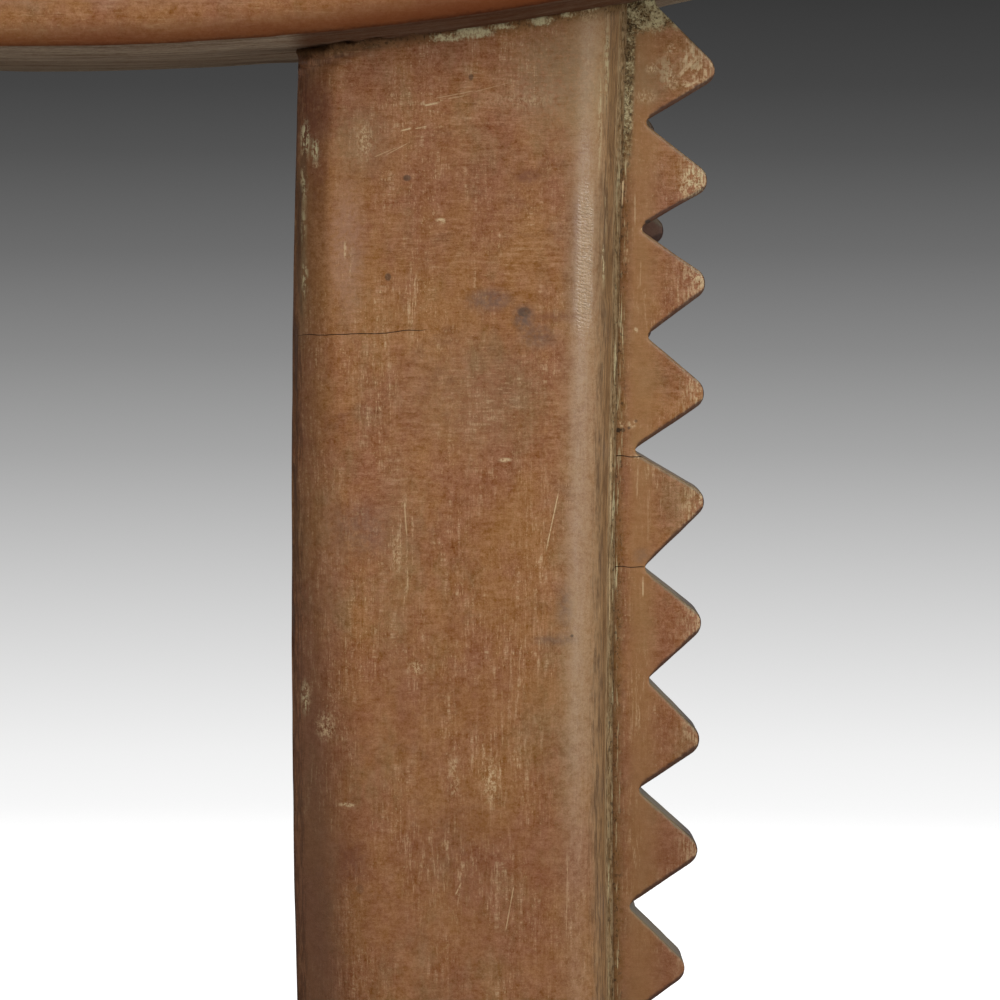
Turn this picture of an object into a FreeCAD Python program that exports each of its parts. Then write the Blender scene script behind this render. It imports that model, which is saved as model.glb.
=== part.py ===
"""A carved wooden Ashanti stool, in millimetres.

The real stool is cut from one block of wood whose grain runs along the seat. Each carved
member is a solid of its own here, and neighbours meet face to face.
+X runs along the seat, -Y is the front, +Z is up, and the origin is the middle of the
base's underside.
"""
import FreeCAD, Part
import math
import os

import Sketcher

SIZES = {
    # base: one plain slab
    "base_height": 30.0,
    "base_end_margin": 30.0,
    "base_side_margin": 8.0,
    "base_corner_radius": 12.0,
    "base_edge_radius": 6.0,
    # the room between the base and the lowest point of the seat's underside
    "support_height": 277.2,
    "support_depth": 210.0,
    # corner legs: broad posts with rounded corners that bow towards the middle of the stool
    "leg_spread": 228.2,
    "leg_splay": 3.2,
    "leg_foot_width": 81.0,
    "leg_head_width": 83.1,
    "leg_depth": 50.0,
    "leg_bow": 2.5,
    "leg_corner_radius": 12.0,
    # saw-toothed flange on the outer side of each leg
    "flange_thickness": 18.0,
    "flange_inset": 16.0,
    "flange_root": 5.0,
    "tooth_depth": 16.0,
    "tooth_tip_radius": 4.4,
    # seat: a curved plank whose underside follows a wide arc and a tighter one at each end
    "seat_thickness": 36.0,
    "seat_side_overhang": 35.0,
    "seat_end_overhang": 97.5,
    "seat_tip_start": 185.0,
    "seat_middle_radius": 840.0,
    "seat_tip_radius": 210.0,
    "lip_rise": 1.9,
    "lip_under_radius": 1.5,
    "lip_top_radius": 12.0,
    "seat_corner_radius": 20.0,
}

# Each flange's outline from the foot up. A notch is (height share, root share) and a tip, as it
# is before it is rounded, is (height share, depth share): shares of support_height, flange_root
# and tooth_depth.
FRONT_NOTCH_SHARES = (
    (0.018, 0.55), (0.118, 0.55), (0.224, 0.59), (0.332, 0.99), (0.434, 1.41), (0.537, 1.13),
    (0.645, 0.50), (0.750, 1.09), (0.848, 0.63), (0.945, 0.81), (1.070, 0.30),
)
FRONT_TIP_SHARES = (
    (0.058, 0.95), (0.164, 0.96), (0.274, 1.14), (0.376, 1.12), (0.487, 1.12),
    (0.601, 1.17), (0.696, 1.15), (0.799, 1.15), (0.890, 1.19), (0.989, 1.23),
)
REAR_NOTCH_SHARES = (
    (0.0, 1.60), (0.073, 0.50), (0.173, 0.50), (0.274, 0.52), (0.375, 0.56), (0.477, 0.58),
    (0.581, 0.62), (0.682, 0.64), (0.786, 0.70), (0.887, 0.72), (0.985, 0.74), (1.075, 0.76),
)
REAR_TIP_SHARES = (
    (0.023, 0.62), (0.124, 0.64), (0.223, 0.66), (0.325, 0.68), (0.426, 0.72), (0.528, 0.71),
    (0.631, 0.74), (0.734, 0.73), (0.837, 0.99), (0.938, 0.75), (1.032, 0.77),
)

doc = FreeCAD.newDocument("ashanti_stool")
sheet = doc.addObject("Spreadsheet::Sheet", "sizes")
for row, (alias, number) in enumerate(SIZES.items(), start=1):
    sheet.set(f"A{row}", alias.replace("_", " "))
    sheet.set(f"B{row}", str(number))
    sheet.setAlias(f"B{row}", alias)
doc.recompute()


def plain(value):
    """The number of a Size, or a plain number as it is."""
    return value.number if isinstance(value, Size) else float(value)


class Size:
    """A length with its number now and the text that binds it to the sheet."""

    def __init__(self, number, text):
        self.number = number
        self.text = text

    def _join(self, other, sign, number):
        text = other.text if isinstance(other, Size) else repr(float(other))
        return Size(number, f"({self.text} {sign} {text})")

    def __add__(self, other):
        return self._join(other, "+", self.number + plain(other))

    def __sub__(self, other):
        return self._join(other, "-", self.number - plain(other))

    def __mul__(self, other):
        return self._join(other, "*", self.number * plain(other))

    def __truediv__(self, other):
        return self._join(other, "/", self.number / plain(other))

    def __neg__(self):
        return Size(-self.number, f"(-1 * {self.text})")

    def root(self):
        return Size(math.sqrt(self.number), f"sqrt({self.text})")


def size(alias):
    """A driving dimension, read from the sheet."""
    return Size(float(sheet.get(alias)), f"sizes.{alias}")


ZERO = Size(0.0, "0")
UNIT = Size(1.0, "1")


def cosine(sine):
    return (UNIT - sine * sine).root()


# The seat's underside: its slope's sine and cosine, and its level, where the arcs change.
base_level = size("base_height")
seat_level = base_level + size("support_height")
tip_start = size("seat_tip_start")
tip_sine = tip_start / size("seat_middle_radius")
tip_cosine = cosine(tip_sine)
tip_level = seat_level + size("seat_middle_radius") * (UNIT - tip_cosine)

# Legs and flanges are drawn up into the seat's thickness and then trimmed to its underside.
blank_top = tip_level + size("seat_thickness")
leg_centre = size("leg_spread") / 2
leg_outer_foot = leg_centre + size("leg_foot_width") / 2
leg_inner_foot = leg_centre - size("leg_foot_width") / 2
leg_outer_head = leg_centre + size("leg_splay") + size("leg_head_width") / 2
leg_inner_head = leg_centre + size("leg_splay") - size("leg_head_width") / 2
tooth_reach = leg_outer_head + size("flange_root") + size("tooth_depth")

seat_half_depth = size("support_depth") / 2 + size("seat_side_overhang")
seat_half_length = tooth_reach + size("seat_end_overhang")
end_sine = tip_sine + (seat_half_length - tip_start) / size("seat_tip_radius")
end_cosine = cosine(end_sine)
end_level = tip_level + size("seat_tip_radius") * (tip_cosine - end_cosine)


def new_body(label):
    body = doc.addObject("PartDesign::Body", label)
    body.Label = label
    return body


def sketch_on(body, name, role, offset=None):
    """A sketch on one of the body's own origin planes, moved along its normal by offset."""
    sketch = body.newObject("Sketcher::SketchObject", name)
    plane = next(f for f in body.Origin.OriginFeatures if f.Role == role)
    sketch.AttachmentSupport = [(plane, "")]
    sketch.MapMode = "FlatFace"
    if offset is not None:
        sketch.setExpression("AttachmentOffset.Base.z", offset.text)
    return sketch


def bind(sketch, constraint, text):
    """Adds a dimension and ties it to the sheet."""
    index = sketch.addConstraint(constraint)
    sketch.setExpression(f"Constraints[{index}]", text)


def point_at(place):
    return FreeCAD.Vector(place[0].number, place[1].number, 0)


def pin_point(sketch, edge, end, place):
    """Holds one end of an edge at a place given by two Sizes."""
    for kind, axis, value in (("DistanceX", -2, place[0]), ("DistanceY", -1, place[1])):
        if value is ZERO:
            sketch.addConstraint(Sketcher.Constraint("PointOnObject", edge, end, axis))
        else:
            bind(sketch, Sketcher.Constraint(kind, -1, 1, edge, end, value.number), value.text)


def arc_over(a, b, radius, side):
    """The arc from a to b that stands off its chord to the left (1) or to the right (-1)."""
    half = (b - a) * 0.5
    bow = radius - math.sqrt(radius**2 - half.Length**2)
    left = FreeCAD.Vector(-half.y, half.x, 0).normalize()
    return Part.Arc(a, a + half + left * (side * bow), b)


def draw_outline(sketch, corners, arcs=None):
    """A closed outline through corners. arcs maps the number of an edge to (radius, side)."""
    arcs = arcs or {}
    edges = []
    first_end = []
    for k, start in enumerate(corners):
        a, b = point_at(start), point_at(corners[(k + 1) % len(corners)])
        radius, side = arcs.get(k, (None, -1))
        line = arc_over(a, b, radius.number, side) if radius else Part.LineSegment(a, b)
        edges.append(sketch.addGeometry(line, False))
        # a sketch keeps its arcs anticlockwise, so one that stands off to the left is turned
        first_end.append(2 if side > 0 else 1)
    for k, edge in enumerate(edges):
        after = (k + 1) % len(edges)
        sketch.addConstraint(
            Sketcher.Constraint("Coincident", edge, 3 - first_end[k], edges[after], first_end[after])
        )
        pin_point(sketch, edge, first_end[k], corners[k])
        if k in arcs:
            radius = arcs[k][0]
            bind(sketch, Sketcher.Constraint("Radius", edge, radius.number), radius.text)


def add_pad(body, sketch, length, name, midplane=False):
    pad = body.newObject("PartDesign::Pad", name)
    pad.Profile = sketch
    pad.setExpression("Length", length.text)
    pad.Midplane = midplane
    body.Tip = pad
    return pad


def edges_of(feature, wanted):
    """The names of the edges of a feature that wanted() picks."""
    doc.recompute()
    names = [f"Edge{k}" for k, e in enumerate(feature.Shape.Edges, start=1) if wanted(e)]
    assert names, f"{feature.Label} has no such edge"
    return names


def add_fillet(body, base, wanted, radius, name):
    fillet = body.newObject("PartDesign::Fillet", name)
    fillet.Base = (base, edges_of(base, wanted))
    fillet.setExpression("Radius", radius.text)
    body.Tip = fillet
    return fillet


def mirror_points(points):
    return [(-x, z) for x, z in reversed(points)]


def underside_points():
    """The ends of the three arcs of the seat's underside, from left to right."""
    right = [(tip_start, tip_level), (seat_half_length, end_level)]
    return mirror_points(right) + right


def top_points():
    """The same on the seat's top, one thickness away along the underside's normal."""
    thick = size("seat_thickness")
    right = [
        (tip_start - thick * tip_sine, tip_level + thick * tip_cosine),
        (seat_half_length - thick * end_sine, end_level + thick * end_cosine),
    ]
    return mirror_points(right) + right


def build_seat():
    """The side view padded across, bevelled along the underside, then rounded."""
    body = new_body("seat")
    sketch = sketch_on(body, "seat_side_view", "XZ_Plane")
    wide, tight, thick = size("seat_middle_radius"), size("seat_tip_radius"), size("seat_thickness")
    arcs = {0: (tight, -1), 1: (wide, -1), 2: (tight, -1)}
    arcs.update({4: (tight - thick, 1), 5: (wide - thick, 1), 6: (tight - thick, 1)})
    draw_outline(sketch, underside_points() + top_points()[::-1], arcs)
    pad = add_pad(body, sketch, seat_half_depth * 2, "seat_plank", midplane=True)

    near = size("lip_rise").number / 100
    front = seat_half_depth.number
    feature = pad
    for name, y in (("front_bevel", -front), ("rear_bevel", front)):
        feature = add_bevel(body, feature, y, near, name)

    def corner(edge):
        ends = [v.Point for v in edge.Vertexes]
        level = all(abs(abs(p.y) - front) < near for p in ends)
        across = abs(ends[0].z - ends[-1].z) > near
        return level and across and all(abs(p.x) > tip_start.number for p in ends) and straight(edge)

    rounded = add_fillet(body, feature, corner, size("seat_corner_radius"), "seat_corners")
    top = add_fillet(body, rounded, on_rim(rounded, 1, near), size("lip_top_radius"), "top_rim")
    add_fillet(body, top, on_rim(top, -1, near), size("lip_under_radius"), "under_rim")
    return body


def straight(edge):
    return isinstance(edge.Curve, (Part.Line, Part.LineSegment))


UNDERSIDE_RADII = ("seat_middle_radius", "seat_tip_radius")


def add_bevel(body, base, y, near, name):
    """Slopes the underside up from the legs' faces to the lip along one long edge."""

    def lower_edge(edge):
        box = edge.BoundBox
        if box.YLength > near or abs(box.Center.y - y) > near or straight(edge):
            return False
        return any(abs(edge.Curve.Radius - size(radius).number) < near for radius in UNDERSIDE_RADII)

    bevel = body.newObject("PartDesign::Chamfer", name)
    bevel.Base = (base, edges_of(base, lower_edge))
    bevel.ChamferType = 1
    bevel.setExpression("Size", size("seat_side_overhang").text)
    bevel.setExpression("Size2", size("lip_rise").text)
    body.Tip = bevel
    doc.recompute()
    if lip_is_low(bevel, y, near):
        bevel.FlipDirection = True
        doc.recompute()
    assert not lip_is_low(bevel, y, near), f"{name} slopes the wrong way"
    return bevel


def lip_is_low(bevel, y, near):
    """True where the bevel took its rise from the underside and its width from the front."""
    probe = (seat_level + size("lip_rise") * 2).number
    inside = FreeCAD.Vector(0, y * (1 - near / abs(y)), probe)
    return not bevel.Shape.isInside(inside, near / 10, True)


def on_rim(feature, side, near):
    """Picks the closed run of edges round the seat's top (1) or round its lower lip (-1)."""

    def is_side(face):
        """A face of the seat's front, back, ends or corners."""
        surface = face.Surface
        return isinstance(surface, Part.Plane) or (
            isinstance(surface, Part.Cylinder) and abs(surface.Axis.y) < near
        )

    def picked(edge):
        faces = [f for f in feature.Shape.Faces if any(edge.isSame(g) for g in f.Edges)]
        others = [f for f in faces if not is_side(f)]
        if len(faces) != 2 or len(others) != 1:
            return False
        middle = edge.valueAt((edge.FirstParameter + edge.LastParameter) / 2)
        return others[0].normalAt(*others[0].Surface.parameter(middle)).z * side > 0

    return picked


def build_room_under_seat():
    """The space below the seat's underside. What stands under the seat is trimmed to it."""
    body = new_body("room_under_seat")
    sketch = sketch_on(body, "room_side_view", "XZ_Plane")
    wide, tight = size("seat_middle_radius"), size("seat_tip_radius")
    corners = underside_points() + [(seat_half_length, ZERO), (-seat_half_length, ZERO)]
    draw_outline(sketch, corners, {0: (tight, -1), 1: (wide, -1), 2: (tight, -1)})
    add_pad(body, sketch, seat_half_depth * 2, "room_block", midplane=True)
    return body


def build_base():
    """A slab with rounded corners and a rounded upper edge. Its underside is flat."""
    body = new_body("base")
    sketch = sketch_on(body, "base_outline", "XY_Plane")
    half_length = tooth_reach + size("base_end_margin")
    half_depth = size("support_depth") / 2 + size("base_side_margin")
    corners = [
        (-half_length, -half_depth),
        (half_length, -half_depth),
        (half_length, half_depth),
        (-half_length, half_depth),
    ]
    draw_outline(sketch, corners)
    pad = add_pad(body, sketch, base_level, "base_slab")
    tall = base_level.number

    def upright(edge):
        return edge.BoundBox.ZLength > tall / 2

    def upper(edge):
        return edge.BoundBox.ZMin > tall / 2

    rounded = add_fillet(body, pad, upright, size("base_corner_radius"), "base_corners")
    add_fillet(body, rounded, upper, size("base_edge_radius"), "base_upper_edge")
    return body


def build_leg_blank():
    """The front right leg before its head is trimmed to the seat."""
    body = new_body("leg_blank")
    back = size("support_depth") / 2 - size("leg_depth")
    sketch = sketch_on(body, "leg_front_view", "XZ_Plane", back)
    corners = [
        (leg_inner_foot, base_level),
        (leg_outer_foot, base_level),
        (leg_outer_head, blank_top),
        (leg_inner_head, blank_top),
    ]
    outer = bowed_radius(corners[1], corners[2], size("leg_bow"))
    inner = bowed_radius(corners[3], corners[0], size("leg_bow"))
    draw_outline(sketch, corners, {1: (outer, 1), 3: (inner, -1)})
    pad = add_pad(body, sketch, size("leg_depth"), "leg_post")
    tall = (blank_top - base_level).number

    def upright(edge):
        return edge.BoundBox.ZLength > tall / 2

    add_fillet(body, pad, upright, size("leg_corner_radius"), "leg_corners")
    return body


def bowed_radius(start, end, bow):
    """The radius of an arc that stands off its chord by bow."""
    across, up = end[0] - start[0], end[1] - start[1]
    return (across * across + up * up) / (bow * 8) + bow / 2


def build_flange_blank(label, notch_shares, tip_shares):
    """A saw-toothed flange that still reaches into the leg and the seat."""
    body = new_body(label)
    back = size("support_depth") / 2 - size("flange_inset") - size("flange_thickness")
    sketch = sketch_on(body, f"{label}_front_view", "XZ_Plane", back)
    chord_rise = blank_top - base_level

    def place(height_share, outward):
        """A point this far outside the straight line from the leg's foot to its head."""
        rise = size("support_height") * height_share
        chord = leg_outer_foot + (leg_outer_head - leg_outer_foot) * rise / chord_rise
        return chord + outward, base_level + rise

    notches = [place(high, size("flange_root") * out) for high, out in notch_shares]
    tips = [
        place(high, size("flange_root") + size("tooth_depth") * out) for high, out in tip_shares
    ]
    foot = [(leg_centre, base_level)]
    if notch_shares[0][0]:
        foot.append((notches[0][0], base_level))
    teeth = [point for pair in zip(notches, tips) for point in pair] + [notches[-1]]
    head = [(notches[-1][0], blank_top), (leg_centre, blank_top)]
    draw_outline(sketch, foot + teeth + head)
    pad = add_pad(body, sketch, size("flange_thickness"), f"{label}_plate")
    near = size("tooth_tip_radius").number / 10

    def at_tip(edge):
        box = edge.BoundBox
        return box.YLength > near and any(
            math.hypot(box.Center.x - x.number, box.Center.z - z.number) < near for x, z in tips
        )

    add_fillet(body, pad, at_tip, size("tooth_tip_radius"), f"{label}_tips")
    return body


def combine(kind, label, base, tool):
    made = doc.addObject(kind, label)
    made.Base = base
    made.Tool = tool
    made.Label = label
    return made


def mirrored(label, source, normal):
    made = doc.addObject("Part::Mirroring", label)
    made.Source = source
    made.Normal = normal
    made.Label = label
    return made


ACROSS_X = FreeCAD.Vector(1, 0, 0)
ACROSS_Y = FreeCAD.Vector(0, 1, 0)


def build_legs(leg_blank, room):
    front = combine("Part::Common", "leg_front_right", leg_blank, room)
    rear = mirrored("leg_rear_right", front, ACROSS_Y)
    return [
        front,
        mirrored("leg_front_left", front, ACROSS_X),
        rear,
        mirrored("leg_rear_left", rear, ACROSS_X),
    ]


def build_flange(label, notch_shares, tip_shares, leg_blank, room):
    """A flange between the leg's outer face and the seat's underside."""
    blank = build_flange_blank(f"{label}_blank", notch_shares, tip_shares)
    trimmed = combine("Part::Common", f"{label}_trimmed", blank, room)
    return combine("Part::Cut", label, trimmed, leg_blank)


def build_flanges(leg_blank, room):
    front = build_flange(
        "flange_front_right", FRONT_NOTCH_SHARES, FRONT_TIP_SHARES, leg_blank, room
    )
    rear_turned = build_flange(
        "rear_flange_turned", REAR_NOTCH_SHARES, REAR_TIP_SHARES, leg_blank, room
    )
    rear = mirrored("flange_rear_right", rear_turned, ACROSS_Y)
    return [
        front,
        mirrored("flange_front_left", front, ACROSS_X),
        rear,
        mirrored("flange_rear_left", rear, ACROSS_X),
    ]


def check_document():
    """Stops the build if any object of the document has failed."""
    for thing in doc.Objects:
        failed = [state for state in thing.State if state in ("Invalid", "Error")]
        assert not failed, f"{thing.Label} is {failed}"


def check_member(member):
    """A member is one valid solid."""
    shape = member.Shape
    assert not shape.isNull() and shape.isValid(), f"{member.Label} has no valid shape"
    assert len(shape.Solids) == 1, f"{member.Label} has {len(shape.Solids)} solids"


def write_member(member):
    member.Shape.exportStep(os.path.join("parts", f"{member.Label}.step"))
    box = member.Shape.optimalBoundingBox()
    print(
        f"{member.Label:20s} {member.Shape.Volume / 1000:8.1f} cm3  "
        f"x {box.XMin:7.1f} {box.XMax:7.1f}  y {box.YMin:7.1f} {box.YMax:7.1f}  "
        f"z {box.ZMin:7.1f} {box.ZMax:7.1f}"
    )


room = build_room_under_seat()
leg_blank = build_leg_blank()
members = [build_seat(), build_base()]
members += build_legs(leg_blank, room)
members += build_flanges(leg_blank, room)
doc.recompute()
check_document()
os.makedirs("parts", exist_ok=True)
for member in members:
    check_member(member)
for member in members:
    write_member(member)
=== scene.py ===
"""The carved stool dressed for rendering, in metres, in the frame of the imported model.

Each member of the frame is replaced by a fine mesh of the same shape whose edges are worn
and whose faces are slightly uneven, as hand carving leaves them. One layered wood covers
all members, because the stool is carved from one block whose grain runs along X.
"""

import math
from types import SimpleNamespace

import bmesh
import bpy
import numpy as np
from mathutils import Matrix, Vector
from mathutils.bvhtree import BVHTree


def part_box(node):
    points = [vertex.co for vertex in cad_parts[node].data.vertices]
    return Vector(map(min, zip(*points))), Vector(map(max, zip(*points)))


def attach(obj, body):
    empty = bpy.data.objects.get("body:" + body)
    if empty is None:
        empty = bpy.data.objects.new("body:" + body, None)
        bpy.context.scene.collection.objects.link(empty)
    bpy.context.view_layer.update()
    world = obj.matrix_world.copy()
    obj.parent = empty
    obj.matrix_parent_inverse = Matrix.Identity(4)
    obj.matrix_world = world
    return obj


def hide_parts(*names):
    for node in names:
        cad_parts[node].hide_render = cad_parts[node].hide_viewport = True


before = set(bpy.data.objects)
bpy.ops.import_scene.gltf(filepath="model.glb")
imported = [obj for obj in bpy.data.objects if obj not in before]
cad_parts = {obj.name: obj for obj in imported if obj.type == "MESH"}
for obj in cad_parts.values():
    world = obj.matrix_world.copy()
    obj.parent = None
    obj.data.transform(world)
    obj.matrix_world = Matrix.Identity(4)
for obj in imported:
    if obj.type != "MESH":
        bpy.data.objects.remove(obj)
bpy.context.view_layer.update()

MM = 0.001


def mm(*lengths):
    return tuple(length * MM for length in lengths)


# The camera's place, the point it looks at, and its reach in the picture's pixels.
CAMERA_PLACE = Vector(mm(100, -1305, 285))
CAMERA_AIM = Vector(mm(125, -105, 197.5))
REACH_PIXELS = 4800
FRAME_PIXELS = 1000
SENSOR_MM = 36.0
PIXEL = 0.25 * MM

# Points of a node's mesh that are nearer than this are one point.
WELD = 0.001 * MM
# Mesh fineness of each kind of member, and of the two members that the picture shows best.
VOXELS = {"seat": 1.6 * MM, "base": 2.0 * MM, "leg": 1.3 * MM, "flange": 0.8 * MM}
CLOSE_VOXELS = {"leg_front_right": 1.0 * MM, "flange_front_right": 0.55 * MM}
# Passes and strength of the smoothing that eases the edges.
SMOOTHING = {"seat": 3, "base": 4, "leg": 3, "flange": 2}
EASE = 0.5
FIRST_SEED = 5
SEED_STEP = 17

# Unevenness of carved faces: (cell size, height) in millimetres from broad to fine. It is sunk
# by a share of its height, which keeps nearly all of the mesh inside the solid.
UNEVEN = {
    "seat": ((85, 0.55), (24, 0.2), (9, 0.06)),
    "base": ((90, 0.6), (26, 0.28), (10, 0.09)),
    "leg": ((60, 0.35), (20, 0.14), (8, 0.05)),
    "flange": ((30, 0.16), (9, 0.1), (3, 0.05)),
}
SUNK = 0.75
# Wear is found by relaxing the mesh so many times. A corner that sinks so far counts as 1.
WEAR_PASSES = 24
WEAR_SCALE = 0.9 * MM
# Near another member: how far dirt is followed, how far the unevenness stays calm, and the
# cove that softens the corner.
DIRT_REACH = 14 * MM
JOINT_CALM = {"seat": 13 * MM, "base": 2.5 * MM, "leg": 2.5 * MM, "flange": 2.5 * MM}
COVE_HEIGHT = 1.1 * MM
COVE_REACH = 3.0 * MM
SEAT_COVE = 0.25

# The legs' inner corners are cut to a facet that widens and softens towards the foot:
# (height, width, softness) at its upper and at its lower end, past which it goes on a little.
LEG_CORNER = 12 * MM
FACET_SLOPE = math.tan(math.radians(40))
FACET_TOP = mm(265, 9.5, 1.6)
FACET_FOOT = mm(97, 22, 11)
FACET_BLEND = 22 * MM
FACET_PAST = 1.4
# A shallow rebate sets the leg's outer side back where it stands out beside its flange.
REBATE = 1.0 * MM
REBATE_SLOPE = 2.0 * MM
REBATE_REACH = 14 * MM
# The seat's lip is rounded in towards its lower edge.
LIP_TURN = {"radius": 12 * MM, "width": 9 * MM}
LIP_BLEND = 14 * MM
# A post's edges are found in levels this high, and evened out over so many of them.
LEVEL_STEP = 2 * MM
LEVELS_EVENED = 9
# Fine ribs that polishing left across the legs' outer corners: spacing, slant in radians a
# millimetre, how much noise bends them, relief, and the middle and half height of their strip.
RIB_PITCH = 1.0 * MM
RIB_SLANT = 1.8
RIB_DISORDER = 14.0
RIB_HEIGHT = 0.09
RIB_MIDDLE = 258 * MM
RIB_SPAN = 22 * MM
# How far, in millimetres, the colours along a leg's corners wander.
CORNER_WOBBLE = 5.0
# The legs' colour is brightened just below the seat, a painted light that offsets the seat's
# shade, from the first height to the second.
TOP_PAINTED_LIGHT = mm(283, 309)
# The joints run upright below the second height and level above the first.
UPRIGHT_JOINT = mm(307, 301)
# How far below the seat its dirt is followed, and the lift recorded away from its lip.
DIRT_DROP = 46 * MM
FAR_LIFT = 40 * MM
# Marks show on faces that look to the front: not at all at the first share, fully at the second.
FRONT_FACING = (0.2, 0.6)
# The share of a soft mark's radius at which it reaches its full strength.
SOFT_CORE = 0.2
# Noise drawn out so many times along an axis hardly changes along it.
LONG = 1e3
# Odd factors that mix a cell's numbers, and half the range of what comes out.
MIXERS = tuple(np.uint32(n) for n in (374761393, 668265263, 2246822519, 3266489917))
HALF_RANGE = 2.0 ** 31


def at_pixel(x, y, plane):
    """The place (X, Z) on an upright plane, square to Y, that the picture shows at a pixel."""
    forward = (CAMERA_AIM - CAMERA_PLACE).normalized()
    right = forward.cross(Vector((0, 0, 1))).normalized()
    up = right.cross(forward)
    middle = FRAME_PIXELS / 2
    ray = forward + right * ((x - middle) / REACH_PIXELS) + up * ((middle - y) / REACH_PIXELS)
    place = CAMERA_PLACE + ray * ((plane - CAMERA_PLACE.y) / ray.y)
    return place.x, place.z


def linear(red, green, blue):
    """A colour given as it looks on screen, 0 to 255, as Blender wants it."""
    def channel(value):
        share = value / 255
        return share / 12.92 if share <= 0.04045 else ((share + 0.055) / 1.055) ** 2.4

    return (channel(red), channel(green), channel(blue), 1.0)


AMBER = linear(142, 97, 55)
RED_BROWN = linear(133, 85, 55)
OLIVE_BROWN = linear(128, 100, 65)
RUST = linear(124, 68, 42)
DEEP_BROWN = linear(98, 63, 40)
CORNER_PATINA_AND_SHADE = linear(96, 66, 48)
GOLDEN = linear(146, 106, 62)
PALE_FLECK = linear(198, 172, 132)
WORN = linear(156, 130, 98)
TAN_DARK = linear(90, 66, 42)
TAN_LIGHT = linear(142, 110, 74)
SOIL = linear(90, 71, 47)
CRUST = linear(196, 186, 146)
GRIT_TAN = linear(108, 90, 62)
SPECK = linear(44, 36, 28)
CRACK = linear(48, 28, 18)
# Colours of the bare underside, paled as painted light: the grey stands in for the bright
# surroundings reflected at a grazing angle, since the underside is kept matt.
UNDER_BROWN = linear(118, 98, 80)
UNDER_GREY_REFLECTION = linear(172, 158, 138)
# Deep red of the underside in front of a leg: redder wood with painted shade in it.
UNDER_RED_AND_SHADE = linear(80, 46, 28)
RIM_DARK = linear(52, 30, 22)
LIP_RED = linear(100, 50, 24)
DUST = linear(98, 92, 68)
BLUE_GREY = linear(92, 76, 68)
DARK_RED = linear(98, 54, 38)
MAUVE = linear(152, 116, 96)
OLIVE_GREY = linear(134, 112, 80)
REAR_SHADE_BROWN = linear(70, 48, 40)
# What dry, scuffed fibres add to the colour of the wood below them.
DRY = (0.37, 0.24, 0.165)

# Each kind's rubbing, drawn out along an axis and so strong, and how pale its edges are worn.
RUBBING = {
    "seat": ((14, 1, 1), 0.7, 0.3), "base": ((14, 1, 1), 0.7, 0.3),
    "leg": ((1, 1, 10), 1.0, 0.06), "flange": ((1, 1, 10), 1.0, 0.06),
}
# How much the rear flanges are rubbed; the rest of their colour is turned to a dark brown, partly
# a painted shade.
REAR_RUBBED = 0.2
# Roughness of the waxed wood and what streaks, dirt and polish add to it, its gloss and what
# polish adds to that, and the depth of the finest relief.
ROUGH, STREAK_ROUGH, DRY_ROUGH, POLISH_ROUGH = 0.4, 0.15, 0.4, -0.16
GLOSS, POLISH_GLOSS = 0.24, 0.7
RELIEF = 1 * MM
# Heights between which the wood changes: scuffed along its grain, legs duller at the foot and
# darker there as a painted shade, and duller at the top, flanges darker at the foot and cleaner
# higher up.
SCUFF_RISE = mm(110, 270)
LEG_FOOT_SHADE = mm(200, 90)
LEG_DULL = mm(150, 95)
TOP_DULL = mm(296, 280)
FLANGE_DARK = mm(190, 95)
FLANGE_CLEAN = mm(165, 230)
# Distances from the stool's middle between which the seat changes: its underside reddens and
# darkens, partly as painted shade, and fades again in front of a leg, and its lip reddens
# outward.
SHELTER_RISE = mm(71, 78)
SHELTER_FALL = mm(168, 158)
LIP_REDDEN = mm(55, 125)


# Meshes

def lattice(cells, seed):
    """A repeatable number from -1 to 1 for each whole-numbered cell."""
    x, y, z = (cells[:, k].astype(np.uint32) for k in range(3))
    first, second, third, fourth = MIXERS
    mixed = x * first + y * second + z * third + np.array([seed], np.uint32) * fourth
    mixed = (mixed ^ (mixed >> np.uint32(15))) * third
    mixed = (mixed ^ (mixed >> np.uint32(13))) * fourth
    mixed = mixed ^ (mixed >> np.uint32(16))
    return mixed.astype(np.float64) / HALF_RANGE - 1.0


def smooth_noise(points, cell, seed):
    """Smooth noise from -1 to 1 whose bumps are about one cell wide."""
    scaled = points / cell
    low = np.floor(scaled)
    part = scaled - low
    part = part * part * (3 - 2 * part)
    low = low.astype(np.int64)
    total = np.zeros(len(points))
    for corner in np.ndindex(2, 2, 2):
        weight = np.ones(len(points))
        for axis, side in enumerate(corner):
            weight = weight * (part[:, axis] if side else 1 - part[:, axis])
        total += weight * lattice(low + np.array(corner), seed)
    return total


def kind_of(node):
    return node.split("_")[0]


def read_vectors(items, name):
    vectors = np.empty(len(items) * 3, dtype=np.float32)
    items.foreach_get(name, vectors)
    return vectors.reshape(-1, 3).astype(np.float64)


def write_attribute(mesh, name, values):
    attribute = mesh.attributes.new(name, "FLOAT", "POINT")
    attribute.data.foreach_set("value", values.astype(np.float32))


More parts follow.
